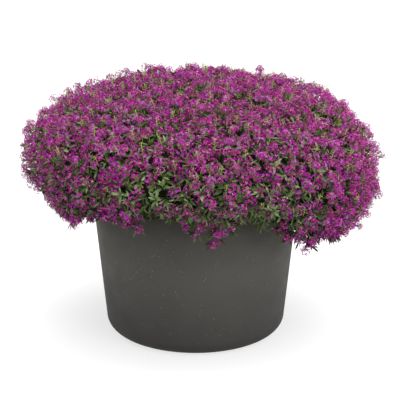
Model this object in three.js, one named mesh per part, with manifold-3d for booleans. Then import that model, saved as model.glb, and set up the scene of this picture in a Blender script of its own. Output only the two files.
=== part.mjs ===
// Potted sweet alyssum: a dark round planter filled with potting soil, seven bushy plants that have
// grown together into one broad cushion, and the purple flower bunches that cover it.
// Millimetres, +Z up, origin at the centre of the pot's flat base. -Y is the front.
//
// A bunch is a corymb: a stalk, a hub, and a ring of pedicels that each carry a four-petalled
// floret. Florets and leaves are larger than life, so that a few hundred of them cover the cushion.

import * as THREE from "three";
import { mergeVertices } from "three/addons/utils/BufferGeometryUtils.js";
import Module from "manifold-3d";

const wasm = await Module();
wasm.setup();

// Driving dimensions of the pot and the soil
const POT = {
  height: 270,
  baseRadius: 155, // where the rounded bottom edge meets the wall
  taper: 0.098, // growth of the radius for each millimetre of height
  edgeRound: 24,
  wall: 8,
  floor: 9,
  rimRound: 3,
  innerEdge: 26, // height at which the inner wall begins
  innerFloorRadius: 133,
  sides: 36,
  drainCount: 5,
  drainRadius: 6,
  drainCircle: 70,
};
const SOIL = { top: 250, crown: 4, clearance: 0.3 };

// Driving dimensions of the cushion's outline
const CUSHION = {
  radius: 298, // at its widest, before it leans to the right
  leanRight: 11,
  topHeight: 442,
  fullness: 2.2, // exponent of the upper outline: 2 is an ellipse
  widestHeight: 306,
  widestLean: -14, // the widest level sinks towards the right
  hemHeight: 182, // lowest level of the foliage at the sides
  hemLean: -22,
  hemFrontRise: 84,
  hemBackRise: 30,
  hemRadius: 208,
  lump: 3,
};

// Driving dimensions of plants, bunches, florets and leaves
const PLANT = {
  count: 6, // round the one in the middle
  circle: 95,
  crownRadius: 8,
  crownDepth: 24,
  crownRise: 20, // how far the crown runs up into the core
  coreDepth: 33, // how far the core lies under the cushion's outline
  coreFloor: 264,
  middleRadius: 52,
  seam: 0.35,
  skirtGap: 13, // between the pot's wall and the foliage that hangs round it
  skirtThick: 9, // least thickness of that foliage at its lower edge
  rimGap: 9,
  mouthGaps: [8, 17], // between the pot's inner wall and the foliage, over the rim and over the soil
};
const BUNCH = {
  hubDepth: 22,
  hubRadius: 4.2,
  hubHalf: 3,
  stalkRadius: 2.6,
  seat: 0.3,
  longestLift: 8,
  spread: 42, // from the hub's axis out to a floret
  broaden: 0.55,
  upperDrop: 8, // how far the florets of the upper and the lower ring lie under the middle one
  lowerDrop: 14,
  middleTilt: 0.1, // radians
  outerTilts: [0.28, 0.49],
  attempts: 6,
};
const FLORET = {
  radius: 27,
  notch: 0.42, // depth of the gap between two petals, as a share of the radius
  tipHalf: 24, // degrees, half the width of a petal's end
  crown: 1.3,
  neckRadius: 1.9,
  neckDrop: 4.2,
  cup: 2.5,
  tries: 30,
};
const LEAF = { length: 44, width: 10, keel: 1.6, root: 5, arch: 4, archMore: 8 };
const CLEAR = 0.45; // least gap between any two pieces that grow past each other

const COLOURS = {
  pot: { color: 0x4d4b48, roughness: 0.72, metalness: 0 },
  soil: { color: 0x33261c, roughness: 0.95, metalness: 0 },
  foliage: { color: 0x4f6b38, roughness: 0.7, metalness: 0 },
  flower: { color: 0x9c1f86, roughness: 0.62, metalness: 0 },
};

const TURN = Math.PI * 2;
const rad = (degrees) => (degrees * Math.PI) / 180;
const V = (x, y, z) => new THREE.Vector3(x, y, z);
const polar = (r, azimuth, z) => V(r * Math.cos(azimuth), r * Math.sin(azimuth), z);

// The same draw every time, from a seed
function randomFrom(seed) {
  let state = seed >>> 0;
  return () => {
    state = (state + 0x6d2b79f5) >>> 0;
    let t = state;
    t = Math.imul(t ^ (t >>> 15), t | 1);
    t ^= t + Math.imul(t ^ (t >>> 7), t | 61);
    return ((t ^ (t >>> 14)) >>> 0) / 4294967296;
  };
}

// Outline of the cushion. reach runs from 0 at the apex over 1 at the widest level to 2 at the hem.
function outline(azimuth, reach) {
  const c = Math.cos(azimuth);
  const s = Math.sin(azimuth);
  const slow = Math.sin(2 * azimuth + 5 * reach + 2.8);
  const quick = Math.sin(7 * azimuth - 9 * reach + 1);
  const lump = CUSHION.lump * (slow + 0.7 * quick);
  const widest = CUSHION.radius + CUSHION.leanRight * c;
  const level = CUSHION.widestHeight + CUSHION.widestLean * c;
  const rise = s < 0 ? CUSHION.hemFrontRise : CUSHION.hemBackRise;
  const hem = CUSHION.hemHeight + CUSHION.hemLean * c + rise * s * s;
  const power = 2 / CUSHION.fullness;
  if (reach <= 1) {
    const a = (reach * Math.PI) / 2;
    return {
      r: widest * Math.sin(a) ** power + lump * Math.sin(a),
      z: level + (CUSHION.topHeight - level) * Math.cos(a) ** power + lump * Math.cos(a),
    };
  }
  const b = ((reach - 1) * Math.PI) / 2;
  return {
    r: CUSHION.hemRadius + (widest - CUSHION.hemRadius) * Math.cos(b) + lump,
    z: level - (level - hem) * Math.sin(b),
  };
}

// A point of the outline sunk by depth, with the outward normal there
function onCushion(azimuth, reach, depth = 0) {
  const step = 0.02;
  const here = outline(azimuth, reach);
  const down = outline(azimuth, reach + step);
  const up = outline(azimuth, Math.max(reach - step, 0));
  const slope = Math.atan2(down.z - up.z, down.r - up.r); // direction of travel from apex to hem
  const normal = polar(-Math.sin(slope), azimuth, Math.cos(slope));
  return { point: polar(here.r, azimuth, here.z).addScaledVector(normal, -depth), normal };
}

// Closed surfaces, built vertex by vertex
class Surface {
  points = [];
  faces = [];

  ring(vectors) {
    return vectors.map((v) => this.points.push(v) - 1);
  }

  face(a, b, c) {
    this.faces.push(a, b, c);
  }

  // Joins two loops of equal length that run the same way round
  bridge(from, to) {
    from.forEach((a, i) => {
      const next = (i + 1) % from.length;
      this.face(a, from[next], to[next]);
      this.face(a, to[next], to[i]);
    });
  }

  // Closes a loop onto one point
  fan(loop, apex) {
    loop.forEach((a, i) => this.face(a, loop[(i + 1) % loop.length], apex));
  }

  // Joins two loops of unequal length by their angles round a common axis
  zip(inner, innerAngles, outer, outerAngles) {
    const sorted = (loop, angles) =>
      loop.map((v, i) => ({ v, a: ((angles[i] % TURN) + TURN) % TURN })).sort((p, q) => p.a - q.a);
    const a = sorted(inner, innerAngles);
    const b = sorted(outer, outerAngles);
    let i = 0;
    let j = 0;
    while (i < a.length || j < b.length) {
      const nextA = i < a.length ? a[i].a : Infinity;
      const nextB = j < b.length ? b[j].a : Infinity;
      const lastA = a[(i + a.length - 1) % a.length].v;
      const lastB = b[(j + b.length - 1) % b.length].v;
      if (nextA < nextB) {
        this.face(lastA, a[i].v, lastB);
        i += 1;
      } else {
        this.face(lastA, b[j].v, lastB);
        j += 1;
      }
    }
  }

  solid() {
    const vertProperties = new Float32Array(this.points.flatMap((p) => [p.x, p.y, p.z]));
    const made = new wasm.Manifold(
      new wasm.Mesh({ numProp: 3, vertProperties, triVerts: new Uint32Array(this.faces) }),
    );
    if (made.volume() > 0) return made;
    for (let k = 0; k < this.faces.length; k += 3) {
      [this.faces[k + 1], this.faces[k + 2]] = [this.faces[k + 2], this.faces[k + 1]];
    }
    return this.solid();
  }
}

// A three.js geometry as a solid, and a solid as a named three.js mesh
function solidOf(geometry) {
  geometry.deleteAttribute("normal");
  geometry.deleteAttribute("uv");
  const merged = mergeVertices(geometry, 1e-4);
  const surface = new Surface();
  const position = merged.getAttribute("position");
  for (let i = 0; i < position.count; i += 1) {
    surface.points.push(new THREE.Vector3().fromBufferAttribute(position, i));
  }
  const index = merged.index.array;
  for (let k = 0; k < index.length; k += 3) {
    const [a, b, c] = [index[k], index[k + 1], index[k + 2]];
    if (a !== b && b !== c && c !== a) surface.face(a, b, c);
  }
  return surface.solid();
}

function geometryOf(solid) {
  const { vertProperties, triVerts } = solid.getMesh();
  const geometry = new THREE.BufferGeometry();
  geometry.setAttribute("position", new THREE.BufferAttribute(new Float32Array(vertProperties), 3));
  geometry.setIndex(new THREE.BufferAttribute(new Uint32Array(triVerts), 1));
  return geometry;
}

function meshOf(name, solid, finish) {
  const flat = geometryOf(solid).toNonIndexed();
  flat.computeVertexNormals();
  const mesh = new THREE.Mesh(flat, new THREE.MeshStandardMaterial({ ...finish, flatShading: true }));
  mesh.name = name;
  return mesh;
}

function lathe(profile, sides) {
  const points = profile.map(([r, z]) => new THREE.Vector2(r, z));
  return solidOf(new THREE.LatheGeometry(points, sides).rotateX(Math.PI / 2));
}

function prism(radius, low, high, sides, x, y) {
  const shape = new THREE.CylinderGeometry(radius, radius, high - low, sides).rotateX(Math.PI / 2);
  return solidOf(shape.translate(x, y, (low + high) / 2));
}

// Pot
const potRadius = (z) => POT.baseRadius + POT.taper * (z - POT.edgeRound);

function pot() {
  const profile = [[0, 0]];
  const edgeSteps = 4;
  for (let k = 0; k <= edgeSteps; k += 1) {
    const a = (k / edgeSteps) * (Math.PI / 2);
    profile.push([
      POT.baseRadius - POT.edgeRound * (1 - Math.sin(a)),
      POT.edgeRound * (1 - Math.cos(a)),
    ]);
  }
  const { height: top, rimRound: round } = POT;
  const outer = potRadius(top);
  const inner = outer - POT.wall;
  profile.push(
    [outer, top - round],
    [outer - round, top],
    [inner + round, top],
    [inner, top - round],
    [potRadius(POT.innerEdge) - POT.wall, POT.innerEdge],
    [POT.innerFloorRadius, POT.floor],
    [0, POT.floor],
  );
  let body = lathe(profile, POT.sides);
  for (let k = 0; k < POT.drainCount; k += 1) {
    const { x, y } = polar(POT.drainCircle, ((k + 0.25) / POT.drainCount) * TURN, 0);
    body = body.subtract(prism(POT.drainRadius, -1, POT.floor + 1, 8, x, y));
  }
  return body;
}

// Soil, with a plain hole for the crown of each plant
const crownSpots = [[0, 0]];
for (let k = 0; k < PLANT.count; k += 1) {
  const { x, y } = polar(PLANT.circle, (k / PLANT.count) * TURN, 0);
  crownSpots.push([x, y]);
}

function soil() {
  // the soil has as many sides as the pot, so its flats lie against the pot's own
  const gap = SOIL.clearance;
  const wallAt = (z) => potRadius(z) - POT.wall - gap;
  let body = lathe(
    [
      [0, POT.floor + gap],
      [POT.innerFloorRadius - gap, POT.floor + gap],
      [wallAt(POT.innerEdge), POT.innerEdge + gap],
      [wallAt(SOIL.top), SOIL.top],
      [PLANT.circle, SOIL.top + SOIL.crown * 0.7],
      [0, SOIL.top + SOIL.crown],
    ],
    POT.sides,
  );
  for (const [x, y] of crownSpots) {
    const bottom = SOIL.top - PLANT.crownDepth;
    const above = SOIL.top + SOIL.crown + 1;
    body = body.subtract(prism(PLANT.crownRadius + gap, bottom, above, 6, x, y));
  }
  return body;
}

// Core of one plant: the dense inside of the bush, from over the soil to a little under the flowers.
// Its rows and columns stand out by turns, so its faces are never one smooth sheet.
const coreReaches = [0.17, 0.36, 0.56, 0.76, 1.0, 1.3, 1.75];
const coreColumns = 6;
const rowRelief = [-2, 3];
const columnRelief = [-1.5, 2.5];

function coreProfile(azimuth) {
  const outer = coreReaches.map((reach, row) => {
    const { point } = onCushion(azimuth, reach, PLANT.coreDepth + rowRelief[row % 2]);
    return [Math.hypot(point.x, point.y), point.z];
  });
  const start = PLANT.middleRadius + PLANT.seam * 2;
  const rim = potRadius(POT.height);
  const skirt = rim + PLANT.skirtGap;
  const overRim = POT.height + PLANT.rimGap;
  outer[0][0] = start;
  const [hemRadius, hemHeight] = outer.pop();
  const hem = [Math.max(hemRadius, skirt + PLANT.skirtThick), Math.min(hemHeight, POT.height - 10)];
  const [overWall, overSoil] = PLANT.mouthGaps.map((gap) => rim - POT.wall - gap);
  return [
    ...outer,
    hem,
    [skirt, hem[1] + 5],
    [skirt, overRim],
    [overWall, overRim - 2],
    [overSoil, PLANT.coreFloor],
    [start, PLANT.coreFloor],
  ];
}

function outerCore(index) {
  const middle = (index / PLANT.count) * TURN;
  const half = Math.PI / PLANT.count;
  const last = coreColumns - 1;
  const surface = new Surface();
  const loops = [];
  for (let column = 0; column <= last; column += 1) {
    const azimuth = middle - half + (2 * half * column) / last;
    const atEdge = column === 0 || column === last;
    const across = polar(1, azimuth + TURN / 4, 0);
    const shift = (column === 0 ? 1 : -1) * (atEdge ? PLANT.seam : 0);
    const loop = coreProfile(azimuth).map(([r, z], row) => {
      const stands = !atEdge && row > 0 && row < coreReaches.length;
      const grow = stands ? columnRelief[column % 2] * (row % 2 ? 1 : -1) : 0;
      return polar(r + grow, azimuth, z + grow * 0.5).addScaledVector(across, shift);
    });
    loops.push(surface.ring(loop));
  }
  for (let k = 1; k <= last; k += 1) surface.bridge(loops[k - 1], loops[k]);
  const capLike = (loop, azimuth, backwards) => {
    const flat = coreProfile(azimuth).map(([r, z]) => new THREE.Vector2(r, z));
    const runsClockwise = THREE.ShapeUtils.isClockWise(flat);
    for (const [a, b, c] of THREE.ShapeUtils.triangulateShape(flat, [])) {
      const sameWay = THREE.ShapeUtils.isClockWise([flat[a], flat[b], flat[c]]) === runsClockwise;
      if (sameWay !== backwards) surface.face(loop[a], loop[b], loop[c]);
      else surface.face(loop[a], loop[c], loop[b]);
    }
  };
  capLike(loops[0], middle - half, true);
  capLike(loops[last], middle + half, false);
  return surface.solid();
}

function middleCore() {
  const floor = PLANT.coreFloor;
  const edge = onCushion(0, coreReaches[0], PLANT.coreDepth).point.z - 3;
  const crest = onCushion(0, 0, PLANT.coreDepth).point.z;
  const r = PLANT.middleRadius - PLANT.seam;
  const foot = [[0, floor], [r * 0.6, floor], [r, floor + 40]];
  const head = [[r, edge], [r * 0.5, crest - 3], [0, crest]];
  return lathe([...foot, ...head], 12);
}

function plantCore(index) {
  const [x, y] = crownSpots[index];
  const low = SOIL.top - PLANT.crownDepth + SOIL.clearance;
  const crown = prism(PLANT.crownRadius, low, SOIL.top + PLANT.crownRise, 6, x, y);
  return crown.add(index === 0 ? middleCore() : outerCore(index - 1));
}

// Where the bunches grow: rings round the apex, then some more along the hem. Azimuths are in degrees.
const bunches = [{ azimuth: 0, reach: 0 }];
const rings = [
  { count: 6, reach: 0.26, start: 28 },
  { count: 12, reach: 0.52, start: 10 },
  { count: 16, reach: 0.85, start: 4 },
  { count: 12, reach: 1.2, start: 4, broad: true },
];
for (const { count, reach, start, broad } of rings) {
  for (let k = 0; k < count; k += 1) {
    const azimuth = start + (360 * k) / count;
    const lift = broad ? 0.12 * Math.max(0, -Math.sin(rad(azimuth))) : 0; // the hem is higher in front
    bunches.push({ azimuth, reach: reach - lift, broad });
  }
}
// One bunch at the front hangs lower than the rest
const hanging = bunches.find(({ azimuth, broad }) => broad && azimuth === 274);
hanging.azimuth += 4;
hanging.reach += 0.1;
hanging.drop = 14;
bunches.push(
  { azimuth: 309, reach: 1.5 },
  { azimuth: 350, reach: 1.5 },
  { azimuth: 20, reach: 1.55 },
  { azimuth: 140, reach: 1.5 },
);

const middleOf = (points) => points.reduce((sum, p) => sum.add(p), V(0, 0, 0)).divideScalar(points.length);

// One floret on its pedicel, grown from three points of the hub
function addFloret(surface, face, { centre, axis, radius, angle, cup }) {
  const z = axis;
  const x = V(0.31, 0.87, 0.39).cross(z).normalize(); // any direction square to the axis
  const y = z.clone().cross(x);
  const neckCentre = centre.clone().addScaledVector(z, -FLORET.neckDrop);
  const from = face.map((i) => surface.points[i]);
  const middle = middleOf(from);
  const run = neckCentre.clone().sub(middle).normalize();
  const neckPoints = from.map((p) => {
    const off = p.clone().sub(middle);
    off.addScaledVector(run, -off.dot(run));
    off.setLength(FLORET.neckRadius);
    return neckCentre.clone().add(off);
  });
  const angleOf = (p) => Math.atan2(p.clone().sub(centre).dot(y), p.clone().sub(centre).dot(x));
  const outer = [];
  const outerAngles = [];
  const tipHalf = rad(FLORET.tipHalf);
  for (let petal = 0; petal < 4; petal += 1) {
    const a = angle + (petal * TURN) / 4;
    for (const [turn, reach, lift] of [
      [-tipHalf, 1, cup],
      [tipHalf, 1, cup],
      [TURN / 8, FLORET.notch, 0],
    ]) {
      const p = centre.clone();
      p.addScaledVector(x, radius * reach * Math.cos(a + turn));
      p.addScaledVector(y, radius * reach * Math.sin(a + turn));
      p.addScaledVector(z, lift);
      outer.push(p);
      outerAngles.push(a + turn);
    }
  }
  const neck = surface.ring(neckPoints);
  const rim = surface.ring(outer);
  const [crown] = surface.ring([centre.clone().addScaledVector(z, FLORET.crown)]);
  surface.bridge(face, neck);
  surface.zip(neck, neckPoints.map(angleOf), rim, outerAngles);
  surface.fan(rim, crown);
}

// The floret as a body of its own, to test its place. It starts at the hub, or just under the neck.
function floretAlone(start, floret) {
  const surface = new Surface();
  const face = surface.ring(start);
  surface.face(face[0], face[2], face[1]);
  addFloret(surface, face, floret);
  return surface.solid();
}

function underNeck(hubFace, { centre, axis }) {
  const pedicelShare = 0.75; // how much of the pedicel is left out
  const neck = centre.clone().addScaledVector(axis, -FLORET.neckDrop);
  const shift = neck.sub(middleOf(hubFace)).multiplyScalar(pedicelShare);
  return hubFace.map((p) => p.clone().add(shift));
}

// Everything that has grown so far, to keep new pieces clear of it
const grown = [];

function placeOf(solid) {
  const box = solid.boundingBox();
  const centre = V(...box.min).add(V(...box.max)).multiplyScalar(0.5);
  return { solid, centre, reach: centre.distanceTo(V(...box.max)) };
}

const gapBetween = (a, b, limit) =>
  a.centre.distanceTo(b.centre) > a.reach + b.reach + limit ? limit : a.solid.minGap(b.solid, limit);

function isClear(solid, others = grown, gap = CLEAR) {
  const place = placeOf(solid);
  return others.every((other) => gapBetween(other, place, gap * 2) >= gap);
}

// What a ray can meet, for seating stalks and leaves on the cores
const targetOf = (solid) =>
  new THREE.Mesh(geometryOf(solid), new THREE.MeshBasicMaterial({ side: THREE.DoubleSide }));

// A hub is a twisted prism. Its lower end carries the stalk, and every other face carries a pedicel:
// 7 of them on a three-sided hub, 10 on the four-sided hub of a broad bunch. score is the florets'
// share of their full area, and pieces are what the bunch adds to all that has grown.
function bunchAttempt(hub, z, broad, random) {
  const level = V(0, 0, 1).cross(z);
  const x = level.length() > 0.2 ? level.normalize() : V(1, 0, 0);
  const y = z.clone().cross(x);
  const place = (across, up, h) =>
    hub.clone().addScaledVector(x, across).addScaledVector(y, up).addScaledVector(z, h);
  const sides = broad ? 4 : 3;
  const step = TURN / sides;
  const turn = broad ? (random() - 0.5) * 0.3 : random() * TURN;
  const surface = new Surface();
  const hubRing = (shift, h) =>
    surface.ring(
      Array.from({ length: sides }, (_, k) => {
        const a = turn + (k + shift) * step;
        return place(BUNCH.hubRadius * Math.cos(a), BUNCH.hubRadius * Math.sin(a), h);
      }),
    );
  const top = hubRing(0, BUNCH.hubHalf);
  const low = hubRing(0.5, -BUNCH.hubHalf);
  const [leastTilt, mostTilt] = BUNCH.outerTilts;
  const wanted = [];
  for (let k = 1; k < sides - 1; k += 1) {
    wanted.push({
      face: [top[0], top[k], top[k + 1]],
      azimuth: k === 1 ? turn + step : turn - step,
      spread: broad ? BUNCH.spread * 0.5 : 0,
      rise: BUNCH.hubDepth - 1 + random() * 3,
      tilt: BUNCH.middleTilt,
    });
  }
  for (let k = 0; k < sides; k += 1) {
    const next = (k + 1) % sides;
    for (const [face, shift, drop] of [
      [[top[k], low[k], top[next]], 0.5, BUNCH.upperDrop],
      [[low[k], low[next], top[next]], 1, BUNCH.lowerDrop],
    ]) {
      const azimuth = turn + (k + shift) * step + (random() - 0.5) * 0.12;
      const widen = broad ? 1 + BUNCH.broaden * Math.abs(Math.cos(azimuth)) : 1;
      wanted.push({
        face,
        azimuth,
        spread: BUNCH.spread * widen * (0.95 + 0.1 * random()),
        rise: BUNCH.hubDepth - drop + random() * 3,
        tilt: leastTilt + (mostTilt - leastTilt) * random(),
      });
    }
  }

  // Each floret is turned, and made a little smaller and lower, until it is clear of all the rest
  const pieces = [];
  const heads = [];
  let score = 0;
  for (const { face, azimuth, spread, rise, tilt } of wanted) {
    const hubFace = face.map((i) => surface.points[i]);
    const lean = x.clone().multiplyScalar(Math.cos(azimuth)).addScaledVector(y, Math.sin(azimuth));
    const axis = z.clone().multiplyScalar(Math.cos(tilt)).addScaledVector(lean, Math.sin(tilt));
    let placed = false;
    for (let attempt = 0; attempt < FLORET.tries && !placed; attempt += 1) {
      const out = spread * (1 - 0.005 * attempt);
      const sink = Math.max(0, attempt - 12) * 0.35;
      const floret = {
        centre: place(out * Math.cos(azimuth), out * Math.sin(azimuth), rise - sink),
        axis,
        radius: FLORET.radius * (1.03 - 0.014 * attempt),
        angle: random() * TURN,
        cup: FLORET.cup * (random() * 1.6 - 0.5),
      };
      const head = floretAlone(underNeck(hubFace, floret), floret);
      const whole = floretAlone(hubFace, floret);
      if (isClear(head, heads) && isClear(whole)) {
        addFloret(surface, face, floret);
        heads.push(placeOf(head));
        pieces.push(placeOf(whole));
        score += (floret.radius / FLORET.radius) ** 2;
        placed = true;
      }
    }
    if (!placed) surface.face(...face);
  }
  return { surface, low, pieces, score };
}

// Stalk, down to its seat on the core
function addStalk(surface, low, hub, down, targets, pieces) {
  const ray = new THREE.Raycaster();
  const starts = low.map((i) => {
    const off = surface.points[i].clone().sub(hub);
    off.addScaledVector(down, -off.dot(down)).setLength(BUNCH.stalkRadius);
    return hub.clone().add(off);
  });
  const lengths = starts.map((start) => {
    ray.set(start, down);
    const hit = ray.intersectObjects(targets, false)[0];
    return hit ? hit.distance - BUNCH.seat : 12;
  });
  const last = starts.length - 1;
  const turned = (loop) => [loop[0], ...loop.slice(1).reverse()];
  const cap = (body, loop) => {
    for (let k = 1; k < last; k += 1) body.face(loop[0], loop[k], loop[k + 1]);
  };
  const liftStep = 0.4;
  for (let lift = 0; lift < BUNCH.longestLift; lift += liftStep) {
    const ends = starts.map((start, k) => start.clone().addScaledVector(down, lengths[k] - lift));
    const stalk = new Surface();
    const from = stalk.ring(starts);
    const to = stalk.ring(ends);
    cap(stalk, from);
    stalk.bridge(turned(from), turned(to));
    cap(stalk, turned(to));
    const solid = stalk.solid();
    const atLast = lift + liftStep >= BUNCH.longestLift;
    if (atLast || isClear(solid, grown, BUNCH.seat * 0.7)) {
      const seat = surface.ring(ends);
      surface.bridge(turned(low), turned(seat));
      cap(surface, turned(seat));
      pieces.push(placeOf(solid));
      return;
    }
  }
}

// The fullest of several attempts at one place
function bunch(hub, axis, down, broad, seed, targets) {
  const random = randomFrom(seed);
  let best = null;
  for (let attempt = 0; attempt < BUNCH.attempts; attempt += 1) {
    const made = bunchAttempt(hub, axis, broad, random);
    if (!best || made.score > best.score) best = made;
  }
  addStalk(best.surface, best.low, hub, down, targets, best.pieces);
  grown.push(...best.pieces);
  return best.surface.solid();
}

// A leaf: a keeled blade, widest in its middle, that arches away from its root
function leaf(root, along, side, length, width, arch) {
  const d = along.clone().normalize();
  const w = side.clone().addScaledVector(d, -side.dot(d)).normalize();
  const t = w.clone().cross(d);
  const surface = new Surface();
  const station = (share, halfWidth, keel) => {
    const p = root.clone().addScaledVector(d, length * share);
    p.addScaledVector(t, -arch * share * share);
    return surface.ring([
      p.clone().addScaledVector(w, -halfWidth),
      p.clone().addScaledVector(w, halfWidth),
      p.clone().addScaledVector(t, -keel),
    ]);
  };
  const [start] = surface.ring([root.clone().addScaledVector(d, -LEAF.root)]);
  const [tip] = surface.ring([root.clone().addScaledVector(d, length).addScaledVector(t, -arch)]);
  const loops =
    arch === 0
      ? [station(0.56, width / 2, LEAF.keel)]
      : [station(0.38, width * 0.44, LEAF.keel), station(0.72, width * 0.46, LEAF.keel)];
  surface.fan([...loops[0]].reverse(), start);
  for (let k = 1; k < loops.length; k += 1) surface.bridge(loops[k - 1], loops[k]);
  surface.fan(loops[loops.length - 1], tip);
  return surface.solid();
}

// Growing order: cores first, then the bunches over them, then leaves in the gaps
const plants = [...crownSpots.keys()].map(plantCore);
const targets = plants.map(targetOf);
const cores = plants.map(placeOf);
grown.push(...cores);

const bunchSolids = bunches.map(({ azimuth, reach, broad, drop = 0 }, k) => {
  const random = randomFrom(100 + k);
  const jitter = reach === 0 ? 0 : 1;
  const az = rad(azimuth + (random() - 0.5) * 5 * jitter);
  const re = reach + (random() - 0.5) * 0.03 * jitter;
  const { point, normal } = onCushion(az, re, BUNCH.hubDepth + (random() - 0.5) * 3);
  const down = normal.clone().negate();
  if (drop > 0) {
    // a hanging bunch faces outwards, and its stalk comes down from under the core's hem
    point.z -= drop;
    normal.copy(polar(1, az, -0.1)).normalize();
    down.copy(polar(-0.5, az, 1)).normalize();
  }
  return bunch(point, normal, down, broad, 1000 + k * 17, targets);
});

// Leaves stand out of the cores between the bunches, more of them and arched ones towards the hem
const leafRows = [
  { reach: 0.12, count: 6, outward: 0.8 },
  { reach: 0.38, count: 18, outward: 0.8 },
  { reach: 0.68, count: 28, outward: 0.8 },
  { reach: 1.0, count: 34, outward: 0.8 },
  { reach: 1.4, count: 40, outward: 0.6 },
  { reach: 1.7, count: 56, outward: 0.5, arched: true },
];
const triesPerLeaf = 14;
const leafRandom = randomFrom(77);

function growLeaf(az, reach, outward, arched) {
  const { point: guess, normal } = onCushion(az, reach, PLANT.coreDepth);
  const start = guess.addScaledVector(normal, 14);
  const ray = new THREE.Raycaster(start, normal.clone().negate(), 0, 40);
  const hit = ray.intersectObjects(targets, false)[0];
  if (!hit) return false;
  const owner = targets.indexOf(hit.object);
  const swing = leafRandom() * TURN;
  const level = polar(1, az + TURN / 4, 0);
  const fall = normal.clone().cross(level);
  const lean = level.multiplyScalar(Math.cos(swing)).addScaledVector(fall, Math.sin(swing));
  const along = normal.clone().multiplyScalar(outward).addScaledVector(lean, 0.55 + leafRandom() * 0.3);
  along.normalize();
  const side = normal.clone().cross(lean);
  const length = LEAF.length * (0.8 + leafRandom() * 0.4);
  const width = LEAF.width * (0.85 + leafRandom() * 0.35);
  const arch = arched ? LEAF.arch + leafRandom() * LEAF.archMore : 0;
  const blade = placeOf(leaf(hit.point, along, side, length, width, arch));

  // the part of the blade that must not dip back into its own core
  const upper = hit.point.clone().addScaledVector(along, LEAF.root + 3.5);
  const free = placeOf(leaf(upper, along, side, length * 0.86, width, 0));
  const others = grown.filter((other) => other !== cores[owner]);
  if (gapBetween(cores[owner], free, 1) <= 0.2) return false;
  if (others.some((other) => gapBetween(other, blade, 1) < CLEAR)) return false;
  plants[owner] = plants[owner].add(blade.solid);
  grown.push(blade);
  return true;
}

for (const { reach, count, outward, arched } of leafRows) {
  let placed = 0;
  for (let attempt = 0; attempt < count * triesPerLeaf && placed < count; attempt += 1) {
    const az = ((placed + leafRandom() * 0.9) / count) * TURN;
    const at = Math.max(reach + (leafRandom() - 0.5) * 0.16, 0.02);
    if (growLeaf(az, at, outward, arched)) placed += 1;
  }
}

// Assembly
const root = new THREE.Group();
root.name = "potted_sweet_alyssum";
root.add(meshOf("pot", pot(), COLOURS.pot));
root.add(meshOf("potting_soil", soil(), COLOURS.soil));
plants.forEach((p, k) => root.add(meshOf(`plant_${k + 1}`, p, COLOURS.foliage)));
bunchSolids.forEach((b, k) => {
  root.add(meshOf(`flower_bunch_${String(k + 1).padStart(2, "0")}`, b, COLOURS.flower));
});

export default root;
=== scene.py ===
"""Potted sweet alyssum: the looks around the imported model. Metres, +Z up, -Y is the front.

The cushion's outline is the one that the model's plants and flower bunches grow to. On it stand real-size
flower heads, each a dome of four-petalled florets on pedicels. Between and under them are leafy shoots,
gone-over stalks with seed pods, stems that trail over the hem, and a dense core of inner foliage.
Everything is placed by seeded rules.
"""

import math

import bpy
import numpy as np
from mathutils.geometry import tessellate_polygon
from numpy.random import default_rng
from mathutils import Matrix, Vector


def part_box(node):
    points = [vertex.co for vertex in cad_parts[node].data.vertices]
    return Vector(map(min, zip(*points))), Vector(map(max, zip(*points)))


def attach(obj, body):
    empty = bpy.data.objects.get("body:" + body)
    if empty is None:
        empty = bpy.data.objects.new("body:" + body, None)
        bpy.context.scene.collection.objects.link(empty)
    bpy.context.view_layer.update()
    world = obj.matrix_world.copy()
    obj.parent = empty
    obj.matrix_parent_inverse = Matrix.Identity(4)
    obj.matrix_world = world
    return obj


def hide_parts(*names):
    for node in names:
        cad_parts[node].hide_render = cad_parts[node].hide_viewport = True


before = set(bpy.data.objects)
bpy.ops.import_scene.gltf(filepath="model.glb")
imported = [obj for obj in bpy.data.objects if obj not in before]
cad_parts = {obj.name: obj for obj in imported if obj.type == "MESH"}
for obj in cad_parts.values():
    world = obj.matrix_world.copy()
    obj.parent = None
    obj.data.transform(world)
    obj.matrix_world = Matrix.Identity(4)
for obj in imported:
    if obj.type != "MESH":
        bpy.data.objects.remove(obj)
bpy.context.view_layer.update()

MM = 0.001
TURN = 2 * math.pi
UP = np.array([0.0, 0.0, 1.0])
GOLDEN_ANGLE = 2.39996  # from each floret, pod or leaf of a spiral to the next

# The photograph's camera
CAMERA_PLACE = (0.0, -2.273, 0.944)
CAMERA_PITCH = 17.55  # degrees below level
FOCAL_PIXELS = 1390
IMAGE_PIXELS = 400
SENSOR = 36.0
AXIS_PIXEL = 195.5  # where the pot's axis stands in the image, across

# Pot and soil
POT = dict(height=270 * MM, base_radius=155 * MM, taper=0.098, edge_round=24 * MM, wall=8 * MM, floor=9 * MM,
           rim_round=3 * MM, inner_edge=26 * MM, inner_floor=133 * MM, drain_count=5, drain_radius=6 * MM,
           drain_circle=70 * MM, drain_turn=0.25, sides=144, edge_steps=12, outer_steps=14, rim_steps=5,
           inner_steps=8, sharp_angle=35)
SOIL = dict(top=250 * MM, crown=4 * MM, gap=0.8 * MM, lump=1.5 * MM, lump_length=18 * MM, crumbs=500,
            crumb_reach=0.97, sides=96, wall_steps=6, top_steps=18)

# The cushion's outline
CUSHION = dict(radius=298 * MM, lean_right=11 * MM, top=442 * MM, fullness=2.2, widest=306 * MM,
               widest_lean=-14 * MM, hem=182 * MM, hem_lean=-22 * MM, hem_front=84 * MM, hem_back=30 * MM,
               hem_radius=208 * MM, lump=3 * MM, quick_lump=0.7, last_reach=2.2)
PLANT_COUNT = 6  # round the one in the middle
PLANT_CIRCLE = 95 * MM
MIDDLE_RADIUS = 52 * MM

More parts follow.
